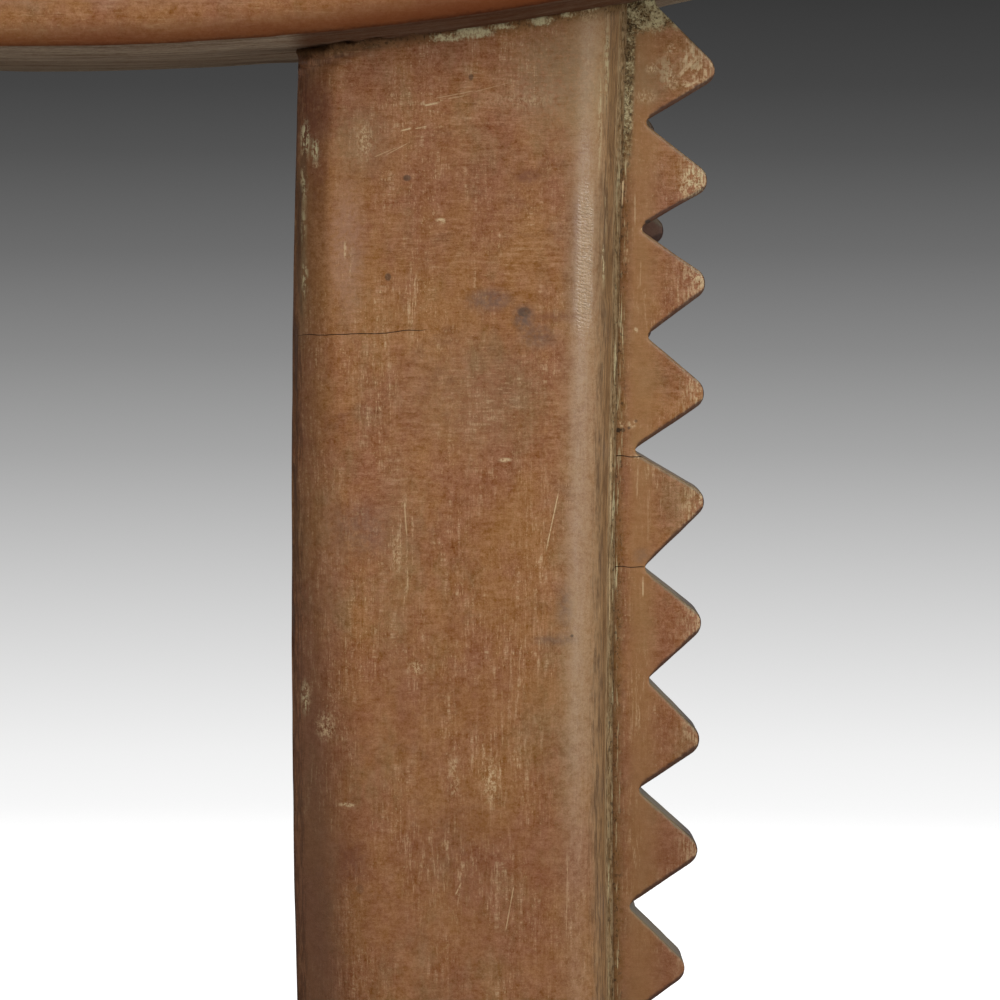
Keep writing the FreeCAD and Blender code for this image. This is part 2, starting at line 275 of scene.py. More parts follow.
def fine_copy(node):
    """A closed, evenly fine mesh of a node's solid, with its edges eased."""
    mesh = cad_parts[node].data.copy()
    welded = bmesh.new()
    welded.from_mesh(mesh)
    bmesh.ops.remove_doubles(welded, verts=welded.verts, dist=WELD)
    welded.to_mesh(mesh)
    welded.free()
    piece = bpy.data.objects.new(f"{node}_carved", mesh)
    bpy.context.scene.collection.objects.link(piece)
    remesh = piece.modifiers.new("fine", "REMESH")
    remesh.mode = "VOXEL"
    remesh.voxel_size = CLOSE_VOXELS.get(node, VOXELS[kind_of(node)])
    ease = piece.modifiers.new("ease", "SMOOTH")
    ease.factor = EASE
    ease.iterations = SMOOTHING[kind_of(node)]
    graph = bpy.context.evaluated_depsgraph_get()
    finished = bpy.data.meshes.new_from_object(piece.evaluated_get(graph))
    finished.name = f"{node}_carved"
    piece.modifiers.clear()
    piece.data = finished
    bpy.data.meshes.remove(mesh)
    return piece


def solid_tree(node):
    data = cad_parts[node].data
    points = [v.co.copy() for v in data.vertices]
    return BVHTree.FromPolygons(points, [p.vertices[:] for p in data.polygons])


def distance_to(others, points, trees, reach):
    """How far each point is from the nearest of the other members, up to reach."""
    distances = np.full(len(points), reach)
    for other in others:
        lo, hi = (np.array(corner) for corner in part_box(other))
        near = np.all((points > lo - reach) & (points < hi + reach), axis=1)
        for index in np.nonzero(near)[0]:
            found = trees[other].find_nearest(Vector(points[index]), reach)
            if found[3] is not None:
                distances[index] = min(distances[index], found[3])
    return distances


def convexity(mesh, points, normals):
    """Above 0 on edges and corners that stand out, and how far those lean up or down."""
    ends = np.empty(len(mesh.edges) * 2, dtype=np.int64)
    mesh.edges.foreach_get("vertices", ends)
    a, b = ends.reshape(-1, 2).T
    count = np.bincount(a, minlength=len(points)) + np.bincount(b, minlength=len(points))
    relaxed = points.copy()
    for _ in range(WEAR_PASSES):
        moved = np.empty_like(relaxed)
        for axis in range(3):
            line = relaxed[:, axis]
            total = np.bincount(a, weights=line[b], minlength=len(points))
            total += np.bincount(b, weights=line[a], minlength=len(points))
            moved[:, axis] = total / np.maximum(count, 1)
        relaxed = moved
    shed = (points - relaxed) / WEAR_SCALE
    return np.einsum("ij,ij->i", shed, normals), shed[:, 2]


def turned_back(distance, radius, width):
    """How far a face is cut back at a distance from its edge, by a rounding that wide."""
    inward = np.clip(width - distance, 0, width)
    return radius - np.sqrt(radius**2 - inward**2)


def edge_distances(points):
    """Each point's distance across the stool from a post's inner and from its outer edge."""
    across = np.abs(points[:, 0])
    level = np.floor(points[:, 2] / LEVEL_STEP).astype(np.int64)
    level -= level.min()
    count = level.max() + 1
    inner = np.full(count, np.inf)
    outer = np.zeros(count)
    np.minimum.at(inner, level, across)
    np.maximum.at(outer, level, across)

    def evened(edge):
        padded = np.pad(edge, LEVELS_EVENED // 2, mode="edge")
        return np.convolve(padded, np.ones(LEVELS_EVENED) / LEVELS_EVENED, mode="valid")

    return across - evened(inner)[level], evened(outer)[level] - across


def facet_inner_corner(node, points):
    """Turns a leg's round inner corner into a facet that softens towards the foot."""
    lo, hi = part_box(node)
    side = 1 if hi.y > -lo.y else -1
    face = hi.y if side > 0 else lo.y
    from_inner, _ = edge_distances(points)
    high, low = FACET_TOP[0], FACET_FOOT[0]
    share = np.clip((high - points[:, 2]) / (high - low), 0, FACET_PAST)
    width = FACET_TOP[1] + (FACET_FOOT[1] - FACET_TOP[1]) * share
    softness = FACET_TOP[2] + (FACET_FOOT[2] - FACET_TOP[2]) * share
    inward = np.clip(width - from_inner, 0, None)
    facet = FACET_SLOPE * (np.hypot(inward, softness) - softness)
    arc = turned_back(from_inner, LEG_CORNER, LEG_CORNER)
    depth = (face - points[:, 1]) * side
    share = np.clip(1 - (depth - arc) / FACET_BLEND, 0, 1)
    cut = points.copy()
    cut[:, 1] = face - (depth + (facet - arc) * share) * side
    return cut


def rebate_outer_side(node, points, from_outer):
    """Sets a leg's outer side back a little in front of its flange's face."""
    lo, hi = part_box(node.replace("leg", "flange"))
    face = max(abs(lo.y), abs(hi.y))
    proud = np.clip((np.abs(points[:, 1]) - face) / REBATE_SLOPE, 0, 1)
    near = np.clip(1 - from_outer / REBATE_REACH, 0, 1)
    cut = points.copy()
    cut[:, 0] -= np.sign(points[:, 0]) * REBATE * proud * near
    return cut


def turn_lip_under(points, tree):
    """Rounds the seat's long sides in towards their lower edges.

    Also gives each point's lift above the underside there.
    """
    lo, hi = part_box("seat")
    turned = points.copy()
    lift = np.full(len(points), FAR_LIFT)
    up = Vector((0, 0, 1))
    for index in np.nonzero(np.abs(points[:, 1]) > hi.y - LIP_BLEND)[0]:
        x, y, z = points[index]
        side = 1 if y > 0 else -1
        start = Vector((x, side * (hi.y - LIP_BLEND), lo.z - LIP_BLEND))
        hit = tree.ray_cast(start, up)[0]
        if hit is None:
            continue
        inset = hi.y - abs(y)
        lift[index] = max(z - hit.z, 0)
        least = turned_back(lift[index], **LIP_TURN)
        turned[index, 1] = side * (hi.y - inset - least * (1 - inset / LIP_BLEND))
    return turned, lift


def rise_of(node, points, gap, seed):
    """How far each point moves outwards: uneven faces, and coves where members meet."""
    kind = kind_of(node)
    height = sum(
        tall * MM * (smooth_noise(points, cell * MM, seed + k) - SUNK)
        for k, (cell, tall) in enumerate(UNEVEN[kind])
    )
    free = np.clip(gap / JOINT_CALM[kind], 0, 1)
    cove = COVE_HEIGHT * np.clip(1 - gap / COVE_REACH, 0, 1) ** 2
    if kind == "base":
        above = np.clip(points[:, 2] / JOINT_CALM[kind], 0, 1)
        free, cove = free * above, cove * above
    if kind == "seat":
        cove *= SEAT_COVE
    return height * free + cove


def finish_leg(node, mesh, points, moved):
    """A leg's facet and rebate, with each point's distance from its edges recorded."""
    from_inner, from_outer = edge_distances(points)
    write_attribute(mesh, "from_inner", from_inner / MM)
    write_attribute(mesh, "from_outer", from_outer / MM)
    return rebate_outer_side(node, facet_inner_corner(node, moved), from_outer)


def record_flange(node, mesh, points, lean, trees):
    """How far out, how far below the seat and how far turned up or down each point lies."""
    lo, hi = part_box(node)
    inner, outer = sorted((abs(lo.x), abs(hi.x)))
    write_attribute(mesh, "tip", (np.abs(points[:, 0]) - inner) / (outer - inner))
    write_attribute(mesh, "lean", np.clip(lean, -1, 1))
    write_attribute(mesh, "below", distance_to(["seat"], points, trees, DIRT_DROP) / MM)


def carve(node, seed, trees):
    """The finished mesh of a member, uneven and with its wear, dirt and edges recorded."""
    piece = fine_copy(node)
    mesh = piece.data
    points = read_vectors(mesh.vertices, "co")
    normals = read_vectors(mesh.vertex_normals, "vector")
    gap = distance_to([other for other in trees if other != node], points, trees, DIRT_REACH)
    wear, lean = convexity(mesh, points, normals)
    moved = points + normals * rise_of(node, points, gap, seed)[:, None]
    write_attribute(mesh, "wear", np.clip(wear, -1, 1))
    write_attribute(mesh, "gap", gap / MM)
    if kind_of(node) == "leg":
        moved = finish_leg(node, mesh, points, moved)
    if kind_of(node) == "flange":
        record_flange(node, mesh, points, lean, trees)
    if node == "seat":
        moved, lift = turn_lip_under(moved, trees[node])
        write_attribute(mesh, "lift", lift / MM)
        write_attribute(mesh, "inset", (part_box(node)[1].y - np.abs(points[:, 1])) / MM)
    write_soft_marks(mesh, node, points, normals)
    mesh.vertices.foreach_set("co", moved.astype(np.float32).ravel())
    mesh.update()
    mesh.shade_smooth()
    return piece


# Materials

class Graph:
    """Short names for the nodes that a material or the world is built from."""

    def __init__(self, owner):
        owner.use_nodes = True
        self.owner = owner
        self.tree = owner.node_tree
        self.tree.nodes.clear()
        coordinates = self.add("ShaderNodeTexCoord").outputs
        self.place, self.facing = coordinates["Object"], coordinates["Normal"]
        self.direction = coordinates["Generated"]
        self.height_up = self.split(self.place)["Z"]

    def add(self, kind, **inputs):
        node = self.tree.nodes.new(kind)
        for name, value in inputs.items():
            self.feed(node.inputs[name], value)
        return node

    def feed(self, socket, value):
        if isinstance(value, bpy.types.NodeSocket):
            self.tree.links.new(value, socket)
        else:
            socket.default_value = value

    def math(self, operation, first, second=0.0):
        node = self.add("ShaderNodeMath")
        node.operation = operation
        self.feed(node.inputs[0], first)
        self.feed(node.inputs[1], second)
        return node.outputs[0]

    def times(self, *values):
        result = values[0]
        for value in values[1:]:
            result = self.math("MULTIPLY", result, value)
        return result

    def plus(self, *values):
        result = values[0]
        for value in values[1:]:
            result = self.math("ADD", result, value)
        return result

    def minus(self, first, second):
        return self.math("SUBTRACT", first, second)

    def off_middle(self, field, factor=1.0):
        """A noise field taken off its middle of one half, so many times over."""
        return self.times(self.minus(field, 0.5), factor)

    def ramp(self, value, low, high):
        """0 at low and 1 at high, with a smooth rise between. low may be above high."""
        node = self.add("ShaderNodeMapRange", Value=value)
        node.interpolation_type = "SMOOTHSTEP"
        limits = (low, high, 0.0, 1.0) if low < high else (high, low, 1.0, 0.0)
        for name, limit in zip(("From Min", "From Max", "To Min", "To Max"), limits):
            node.inputs[name].default_value = limit
        return node.outputs["Result"]

    def mix(self, share, first, second):
        node = self.add("ShaderNodeMix")
        node.data_type = "RGBA"
        self.feed(node.inputs[0], share)
        self.feed(node.inputs[6], first)
        self.feed(node.inputs[7], second)
        return node.outputs[2]

    def tint(self, colour, tone, *shares):
        """The colour turned towards a tone by the product of the shares."""
        return self.mix(self.times(*shares), colour, tone)

    def vector(self, operation, first, second=(0, 0, 0)):
        node = self.add("ShaderNodeVectorMath")
        node.operation = operation
        self.feed(node.inputs[0], first)
        self.feed(node.inputs["Scale" if operation == "SCALE" else 1], second)
        return node.outputs["Value" if operation == "LENGTH" else 0]

    def moved(self, shift=(0, 0, 0), stretch=(1, 1, 1), turn=0.0):
        """The object's coordinates shifted, turned about Y and drawn out along its axes."""
        shifted = self.vector("SUBTRACT", self.place, shift)
        scale = tuple(1 / s for s in stretch)
        node = self.add("ShaderNodeMapping", Vector=shifted, Rotation=(0, turn, 0), Scale=scale)
        node.vector_type = "POINT"
        return node.outputs["Vector"]

    def noise(self, size, stretch=(1, 1, 1), seed=0.0, detail=3.0, rough=0.55):
        """Noise whose bumps are about size across, drawn out by stretch."""
        place = self.moved((seed, seed / 2, 0), stretch)
        texture = self.add(
            "ShaderNodeTexNoise", Vector=place, Scale=1 / size, Detail=detail, Roughness=rough
        )
        return texture.outputs["Fac"]

    def attribute(self, name):
        node = self.add("ShaderNodeAttribute")
        node.attribute_name = name
        return node.outputs["Fac"]

    def joined(self, kind, *inputs):
        """The shader of a node that mixes or adds others, given its inputs in their order."""
        node = self.add(kind)
        for socket, value in zip(node.inputs, inputs):
            self.feed(socket, value)
        return node.outputs[0]

    def finish(self, shader, kind="ShaderNodeOutputMaterial"):
        self.add(kind, Surface=shader)
        return self.owner

    def split(self, vector):
        return self.add("ShaderNodeSeparateXYZ", Vector=vector).outputs

    def spot(self, centre, radii, edge):
        """1 in the middle of a soft ellipse on a front face and 0 outside it."""
        off = self.moved((centre[0], 0, centre[1]), (radii[0], LONG, radii[1]))
        return self.ramp(self.vector("LENGTH", off), 1.0, edge)

    def stroke(self, start, end, width):
        """1 along a straight line on a front face, fading at its ends."""
        dx, dz = end[0] - start[0], end[1] - start[1]
        middle = ((start[0] + end[0]) / 2, 0, (start[1] + end[1]) / 2)
        axes = self.split(self.moved(middle, turn=math.atan2(dz, dx)))
        along = self.ramp(self.math("ABSOLUTE", axes["X"]), math.hypot(dx, dz) / 2, 0.0)
        across = self.ramp(self.math("ABSOLUTE", axes["Z"]), width, width * 0.3)
        return self.times(self.math("MINIMUM", self.times(along, 4.0), 1.0), across)


# What the picture shows on the right front leg and its flange, in its pixels.
# Soft marks are (x, y, half width, half height, strength). Tints colour the wood, and one of
# them, the ridge sheen, is a painted highlight; scabs are pale and broken, crusts are cream and
# torn, peels are cream threads and crumbs, rubs are pale where the rubbing is strong, and dashes
# where the grain is.
TINTS = {"bluish": BLUE_GREY, "reddish": DARK_RED, "ridge_sheen": MAUVE, "olive": OLIVE_GREY}
SOFT_MARKS = {
    "leg_front_right": {
        "bluish": (
            (490, 300, 34, 16, 0.6), (524, 318, 16, 20, 0.75), (538, 336, 28, 20, 0.5),
            (565, 607, 12, 34, 0.45), (556, 640, 34, 9, 0.45), (362, 530, 40, 44, 0.35),
        ),
        "reddish": (
            (312, 112, 30, 46, 0.6), (527, 177, 18, 11, 0.6), (556, 317, 30, 8, 0.5),
            (352, 862, 24, 34, 0.5), (318, 180, 13, 50, 0.4), (455, 850, 80, 70, 0.25),
        ),
        # Painted highlight: a pale sheen down the ridge of the leg's inner facet.
        "ridge_sheen": ((346, 250, 28, 110, 0.5), (332, 560, 22, 150, 0.2)),
        "olive": (
            (299, 240, 9, 130, 0.65), (360, 140, 46, 52, 0.4), (565, 80, 90, 80, 0.6),
            (470, 395, 110, 80, 0.25), (395, 560, 26, 180, 0.22),
        ),
        "scab": (
            (364, 140, 12, 28, 0.6), (325, 728, 15, 20, 0.75), (416, 668, 11, 10, 0.7),
            (490, 780, 11, 34, 0.65), (305, 700, 7, 20, 0.55), (454, 775, 7, 36, 0.6),
            (397, 555, 8, 28, 0.55), (520, 100, 50, 10, 0.35), (590, 14, 16, 12, 0.5),
        ),
        "crust": (
            (446, 38, 26, 5, 0.8), (474, 33, 28, 8, 1.0), (503, 26, 18, 4, 0.75),
            (541, 21, 18, 6, 1.0), (566, 15, 18, 3, 0.6), (592, 9, 14, 4, 0.6),
            (400, 46, 30, 2, 0.55),
        ),
        "peel": (
            (303, 138, 7, 26, 1.0), (314, 150, 6, 16, 0.9), (302, 182, 5, 30, 0.7),
            (301, 225, 4, 26, 0.7), (303, 280, 5, 26, 0.65), (303, 700, 5, 24, 0.45),
            (612, 60, 4, 60, 0.6), (604, 120, 3, 70, 0.45), (609, 262, 3, 34, 0.8),
            (612, 210, 3, 44, 0.45),
        ),
        "rub": (
            (408, 290, 20, 76, 0.65), (407, 560, 15, 110, 0.9), (345, 270, 15, 44, 0.8),
            (416, 640, 15, 76, 0.75), (490, 770, 28, 76, 0.9), (540, 520, 38, 110, 0.4),
            (450, 870, 76, 90, 0.5), (575, 880, 20, 100, 0.45), (378, 390, 32, 76, 0.5),
            (520, 700, 50, 150, 0.4), (330, 790, 38, 76, 0.4),
        ),
        "dash": (
            (450, 110, 76, 50, 0.6), (500, 80, 76, 20, 0.65), (430, 250, 50, 44, 0.5),
            (520, 250, 60, 76, 0.4), (360, 60, 50, 26, 0.4), (480, 400, 110, 76, 0.45),
            (400, 480, 76, 76, 0.35),
        ),
    },
    "flange_front_right": {
        "bluish": ((642, 556, 13, 13, 0.35),),
        "olive": ((650, 84, 26, 34, 0.35),),
        "scab": (
            (622, 424, 5, 4, 0.9), (652, 68, 8, 7, 0.9), (672, 50, 10, 10, 0.6),
            (672, 80, 12, 15, 0.6), (646, 96, 15, 10, 0.55), (637, 458, 3, 5, 1.0),
            (690, 84, 12, 5, 0.8), (692, 180, 17, 20, 0.95), (684, 190, 10, 14, 0.6),
            (694, 276, 12, 13, 0.6),
        ),
        "peel": (
            (692, 60, 16, 20, 0.35), (666, 70, 14, 24, 0.3), (695, 178, 15, 21, 0.5),
            (698, 282, 8, 12, 0.3),
        ),
        "rub": (
            (640, 690, 18, 76, 0.65), (650, 500, 26, 64, 0.55), (648, 300, 26, 50, 0.5),
            (626, 380, 8, 60, 0.6), (628, 250, 8, 60, 0.6), (632, 840, 14, 80, 0.5),
        ),
        "dash": ((690, 70, 18, 28, 0.55),),
    },
}
# Crisp marks: pale scabs and dark dots given as soft marks are, scratches as (x, y, x, y, width
# in mm, strength), and drying cracks as (x, y, x, y, width in mm).
CRISP_MARKS = {
    "leg_front_right": {
        "scabs": (
            (316, 165, 6, 4, 0.6), (347, 806, 12, 3, 0.75), (505, 460, 9, 3, 0.75),
            (441, 221, 7, 4, 0.9), (345, 250, 2, 12, 0.6),
        ),
        "dots": (
            (407, 178, 5, 4, 0.62), (388, 277, 4, 5, 0.58), (524, 312, 8, 6, 0.45),
            (572, 636, 2, 2, 0.6), (471, 77, 3, 4, 0.5), (360, 890, 5, 6, 0.22),
        ),
        "scratches": (
            (560, 486, 545, 556, 0.2, 0.8), (423, 106, 441, 102, 0.34, 0.85),
            (446, 99, 468, 95, 0.18, 0.5), (432, 99, 478, 90, 0.14, 0.5),
            (470, 93, 512, 82, 0.16, 0.4), (400, 131, 412, 128, 0.3, 0.8),
            (414, 129, 428, 126, 0.2, 0.6), (372, 158, 400, 146, 0.16, 0.4),
            (384, 156, 410, 142, 0.16, 0.45), (404, 498, 407, 540, 0.24, 0.5),
            (515, 880, 505, 935, 0.18, 0.55), (455, 896, 462, 882, 0.25, 0.6),
            (568, 850, 566, 950, 0.16, 0.25),
            (613, 436, 613, 482, 0.45, 0.95), (613, 478, 613, 524, 0.32, 0.6),
            (612, 556, 612, 640, 0.26, 0.5),
        ),
        "cracks": ((292, 337, 432, 330, 0.13),),
    },
    "flange_front_right": {
        "scabs": ((641, 228, 3, 5, 0.9), (636, 330, 3, 4, 0.7), (632, 424, 6, 6, 0.6)),
        "dots": (
            (648, 222, 4, 3, 0.8), (618, 430, 4, 3, 0.85), (623, 430, 3, 3, 0.55),
            (629, 428, 2, 2, 0.55), (636, 421, 2, 2, 0.45), (646, 455, 6, 4, 0.9),
        ),
        "scratches": (
            (638, 462, 637, 500, 0.22, 0.35), (648, 488, 648, 548, 0.18, 0.2),
            (643, 575, 643, 598, 0.3, 0.6), (633, 700, 632, 740, 0.2, 0.2),
            (677, 78, 700, 54, 0.7, 0.65), (682, 64, 694, 46, 0.55, 0.55),
            (692, 80, 703, 62, 0.45, 0.6), (683, 88, 700, 80, 0.4, 0.6),
            (623, 176, 621, 208, 0.5, 0.85), (621, 204, 619, 240, 0.32, 0.75),
            (619, 236, 619, 330, 0.22, 0.6), (635, 190, 635, 228, 0.16, 0.6),
            (641, 258, 640, 290, 0.2, 0.25),
        ),
        "cracks": ((612, 456, 646, 457, 0.15), (612, 567, 646, 567, 0.13)),
    },
}


def soft_spots(points, plane, spots):
    """The strongest of the soft ellipses that the picture shows over each point."""
    share = np.zeros(len(points))
    for x, y, wide, tall, strength in spots:
        across, up = at_pixel(x, y, plane)
        off = np.hypot(
            (points[:, 0] - across) / (wide * PIXEL), (points[:, 2] - up) / (tall * PIXEL)
        )
        near = np.clip((1 - off) / (1 - SOFT_CORE), 0, 1)
        share = np.maximum(share, strength * near * near * (3 - 2 * near))
    return share


def write_soft_marks(mesh, node, points, normals):
    """Records a member's soft marks on the part of it that looks to the front."""
    low, high = FRONT_FACING
    front = np.clip((-normals[:, 1] - low) / (high - low), 0, 1)
    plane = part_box(node)[0].y
    for name, spots in SOFT_MARKS.get(node, {}).items():
        write_attribute(mesh, name, soft_spots(points, plane, spots) * front)


def crack_mask(g, start, end, width):
    """A nearly level drying crack that wanders a little and thins towards its ends."""
    middle, half = (start[0] + end[0]) / 2, (end[0] - start[0]) / 2
    across = g.minus(g.split(g.place)["X"], middle)
    level = g.plus((start[1] + end[1]) / 2, g.times(across, (end[1] - start[1]) / (2 * half)))
    wander = g.off_middle(g.noise(9 * MM, (1, LONG, LONG), detail=2.0), 1.6 * MM)
    offset = g.math("ABSOLUTE", g.minus(g.minus(g.height_up, level), wander))
    line = g.ramp(offset, width * MM, width * 0.25 * MM)
    return g.times(line, g.ramp(g.math("ABSOLUTE", across), half, half * 0.7))


def soft_marks(g, colour, f, marks):
    """The tints, scabs, rubs and dashes that the mesh carries as attributes."""
    ragged = g.plus(0.45, g.times(g.ramp(f.crumbs, 0.38, 0.56), 0.55))
    for name, tint in TINTS.items():
        if name in marks:
            colour = g.tint(colour, tint, g.attribute(name), ragged)
    dotted = g.times(g.ramp(f.fleck, 0.42, 0.58), 0.6)
    sparse = g.times(g.ramp(f.fleck, 0.44, 0.56), g.ramp(f.crumbs, 0.4, 0.54))
    for name, seen, pale in (
        ("scab", sparse, PALE_FLECK),
        ("rub", g.times(g.ramp(f.streak, 0.52, 0.64), dotted), PALE_FLECK),
        ("dash", g.times(g.ramp(f.grain, 0.54, 0.66), dotted), PALE_FLECK),
        ("peel", g.ramp(g.plus(f.streak, g.off_middle(f.crumbs, 1.2)), 0.46, 0.58), CRUST),
    ):
        if name in marks:
            colour = g.tint(colour, pale, g.attribute(name), seen)
    if "crust" in marks:
        ragged = g.plus(g.off_middle(f.crumbs), g.off_middle(f.fleck, 1.2))
        torn = g.ramp(g.plus(g.attribute("crust"), ragged), 0.16, 0.8)
        torn = g.times(torn, g.plus(0.35, g.times(g.ramp(f.fleck, 0.38, 0.58), 0.55)))
        colour = g.tint(colour, CRUST, torn, g.ramp(g.attribute("crust"), 0.02, 0.2))
    return colour


def crisp_marks(g, colour, height, f, marks, plane):
    """Small scabs, dots, scratches and cracks on faces that look to the front."""
    front = g.ramp(g.times(g.split(g.facing)["Y"], -1.0), *FRONT_FACING)

    def spot(x, y, wide, tall, edge):
        return g.times(g.spot(at_pixel(x, y, plane), (wide * PIXEL, tall * PIXEL), edge), front)

    for x, y, wide, tall, strength in marks["scabs"]:
        broken = g.ramp(f.crumbs, 0.42, 0.54)
        colour = g.tint(colour, PALE_FLECK, spot(x, y, wide, tall, 0.3), broken, strength)
    for x, y, wide, tall, strength in marks["dots"]:
        colour = g.tint(colour, SPECK, spot(x, y, wide, tall, 0.55), strength)
    for x0, y0, x1, y1, width, strength in marks["scratches"]:
        line = g.stroke(at_pixel(x0, y0, plane), at_pixel(x1, y1, plane), width * MM)
        broken = g.ramp(f.crumbs, 0.3, 0.52)
        colour = g.tint(colour, PALE_FLECK, line, front, broken, strength)
    for x0, y0, x1, y1, width in marks["cracks"]:
        ends = at_pixel(x0, y0, plane), at_pixel(x1, y1, plane)
        mask = g.times(crack_mask(g, *ends, width), front)
        colour = g.tint(colour, CRACK, mask, 0.9)
        height = g.minus(height, g.times(mask, 0.5))
    return colour, height


def wood_fields(g, rub):
    """The noises that the layers of the wood share. rub draws out the rubbing along one axis."""
    return SimpleNamespace(
        weave=g.noise(2.2 * MM, (1.2, 1, 1), detail=5.0, rough=1.0),
        grain=g.noise(0.8 * MM, (8, 1, 1), seed=1.9, rough=0.85),
        streak=g.noise(0.9 * MM, rub, seed=3.3, rough=0.85),
        zone=g.noise(14 * MM, (1, 1, 1.8), seed=4.1),
        fleck=g.noise(0.55 * MM, (1, 1, 1.8), seed=4.7, rough=0.8),
        crumbs=g.noise(1.1 * MM, (1.3, 1, 1.3), seed=7.9, detail=4.0, rough=0.7),
    )


def body_colour(g):
    """Broad soft drifts of amber, red, olive and rust brown."""
    drift = g.noise(24 * MM, (1, 1, 1.5), detail=8.0, rough=0.7)
    colour = g.mix(g.ramp(drift, 0.36, 0.64), AMBER, RED_BROWN)
    olive = g.noise(16 * MM, (1, 1, 2), seed=1.3, detail=8.0, rough=0.72)
    colour = g.tint(colour, OLIVE_BROWN, g.ramp(olive, 0.48, 0.7), 0.6)
    rust = g.noise(9 * MM, (1.6, 1, 1), seed=2.7, detail=7.0, rough=0.72)
    colour = g.tint(colour, RUST, g.ramp(rust, 0.54, 0.72), 0.35)
    return g.tint(colour, DEEP_BROWN, g.ramp(rust, 0.44, 0.28), 0.3)


def scuffed(g, colour, f, rubbed):
    """Dry fibres along the grain, mostly high up, and rubbing across it, mostly low down."""
    high = g.ramp(g.height_up, *SCUFF_RISE)
    along = g.times(g.ramp(f.zone, 0.7, 0.34), g.plus(0.3, g.times(high, 0.45)))
    across = g.times(g.ramp(f.zone, 0.34, 0.62), g.minus(0.75, g.times(high, 0.35)), rubbed)
    tone = g.plus(
        g.off_middle(f.weave, 1.45), g.times(g.off_middle(f.grain), along),
        g.times(g.off_middle(f.streak), across),
    )
    colour = g.vector("ADD", colour, g.vector("SCALE", DRY, tone))
    flecks = g.times(g.ramp(f.fleck, 0.58, 0.7), g.ramp(f.zone, 0.4, 0.6))
    colour = g.tint(colour, PALE_FLECK, flecks, 0.4 * rubbed)
    rungs = g.times(
        g.ramp(f.streak, 0.54, 0.62), g.ramp(f.grain, 0.48, 0.6), g.ramp(f.zone, 0.42, 0.58)
    )
    return g.tint(colour, PALE_FLECK, rungs, 0.4 * rubbed)


def wood(node):
    """The layered wood of one member."""
    g = Graph(bpy.data.materials.new(f"wood_{node}"))
    part = kind_of(node)
    rub, rubbed, edges = RUBBING[part]
    if node.startswith("flange_rear"):
        rubbed = REAR_RUBBED
    f = wood_fields(g, rub)
    colour = scuffed(g, body_colour(g), f, rubbed)
    height = g.plus(g.times(f.weave, 0.1), g.times(f.grain, 0.04))
    worn = g.ramp(g.plus(g.attribute("wear"), g.off_middle(f.crumbs, 0.6)), 0.3, 0.95)
    colour = g.tint(colour, WORN, worn, edges)
    polish = dull = 0.0
    if part == "seat":
        colour, dull = lip_colour(g, colour, f)
    if part == "leg":
        colour, height, polish = leg_wood(g, colour, height, f)
    if part == "flange":
        colour = flange_colour(g, colour, f, rubbed)
    colour, matt = joint_dirt(g, colour, f)
    if part == "flange":
        colour, matt = flange_grit(g, colour, matt, f)
    if node in SOFT_MARKS:
        colour = soft_marks(g, colour, f, SOFT_MARKS[node])
        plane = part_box(node)[0].y
        colour, height = crisp_marks(g, colour, height, f, CRISP_MARKS[node], plane)
    height = g.plus(height, g.times(matt, f.crumbs, 0.35))
    if part == "seat":
        colour, matt = bare_underside(g, colour, g.math("MAXIMUM", matt, dull), f)
    return finish_wood(g, colour, height, polish, matt, f.streak)


def bare_underside(g, colour, matt, f):
    """Rough unpolished wood below the seat, in long thin streaks whose paleness and grey are a
    painted grazing reflection, redder and darker in front of a leg, partly as painted shade.
    """
    down = g.ramp(g.split(g.facing)["Z"], -0.4, -0.6)
    under = g.times(down, g.ramp(g.attribute("inset"), 1.2, 2.6))
    thin = g.noise(1.5 * MM, (3.5, 1.5, 1), seed=7.3, detail=5.0, rough=1.0)
    broad = g.noise(9 * MM, (5, 1, 1), seed=8.1, rough=0.6)
    tone = g.plus(g.off_middle(thin), g.off_middle(broad, 0.6), 0.5)
    # Painted reflection: pale grey streaks in place of the bright surroundings seen at a grazing
    # angle.
    bare = g.mix(g.ramp(tone, 0.34, 0.66), UNDER_BROWN, UNDER_GREY_REFLECTION)
    bare = g.tint(bare, OLIVE_GREY, g.ramp(f.weave, 0.46, 0.6), 0.3)
    bare = g.tint(bare, CRUST, g.ramp(thin, 0.56, 0.66), g.ramp(broad, 0.48, 0.6), 0.8)
    outward = g.math("ABSOLUTE", g.split(g.place)["X"])
    # Partly redder wood, partly painted shade: the underside darkens in front of each leg.
    red_and_shaded = g.times(g.ramp(outward, *SHELTER_RISE), g.ramp(outward, *SHELTER_FALL))
    red = g.mix(g.ramp(tone, 0.34, 0.66), UNDER_RED_AND_SHADE, UNDER_BROWN)
    bare = g.tint(bare, g.mix(0.25, UNDER_RED_AND_SHADE, red), red_and_shaded, 0.85)
    return g.tint(colour, bare, under, 0.95), g.math("MAXIMUM", matt, under)


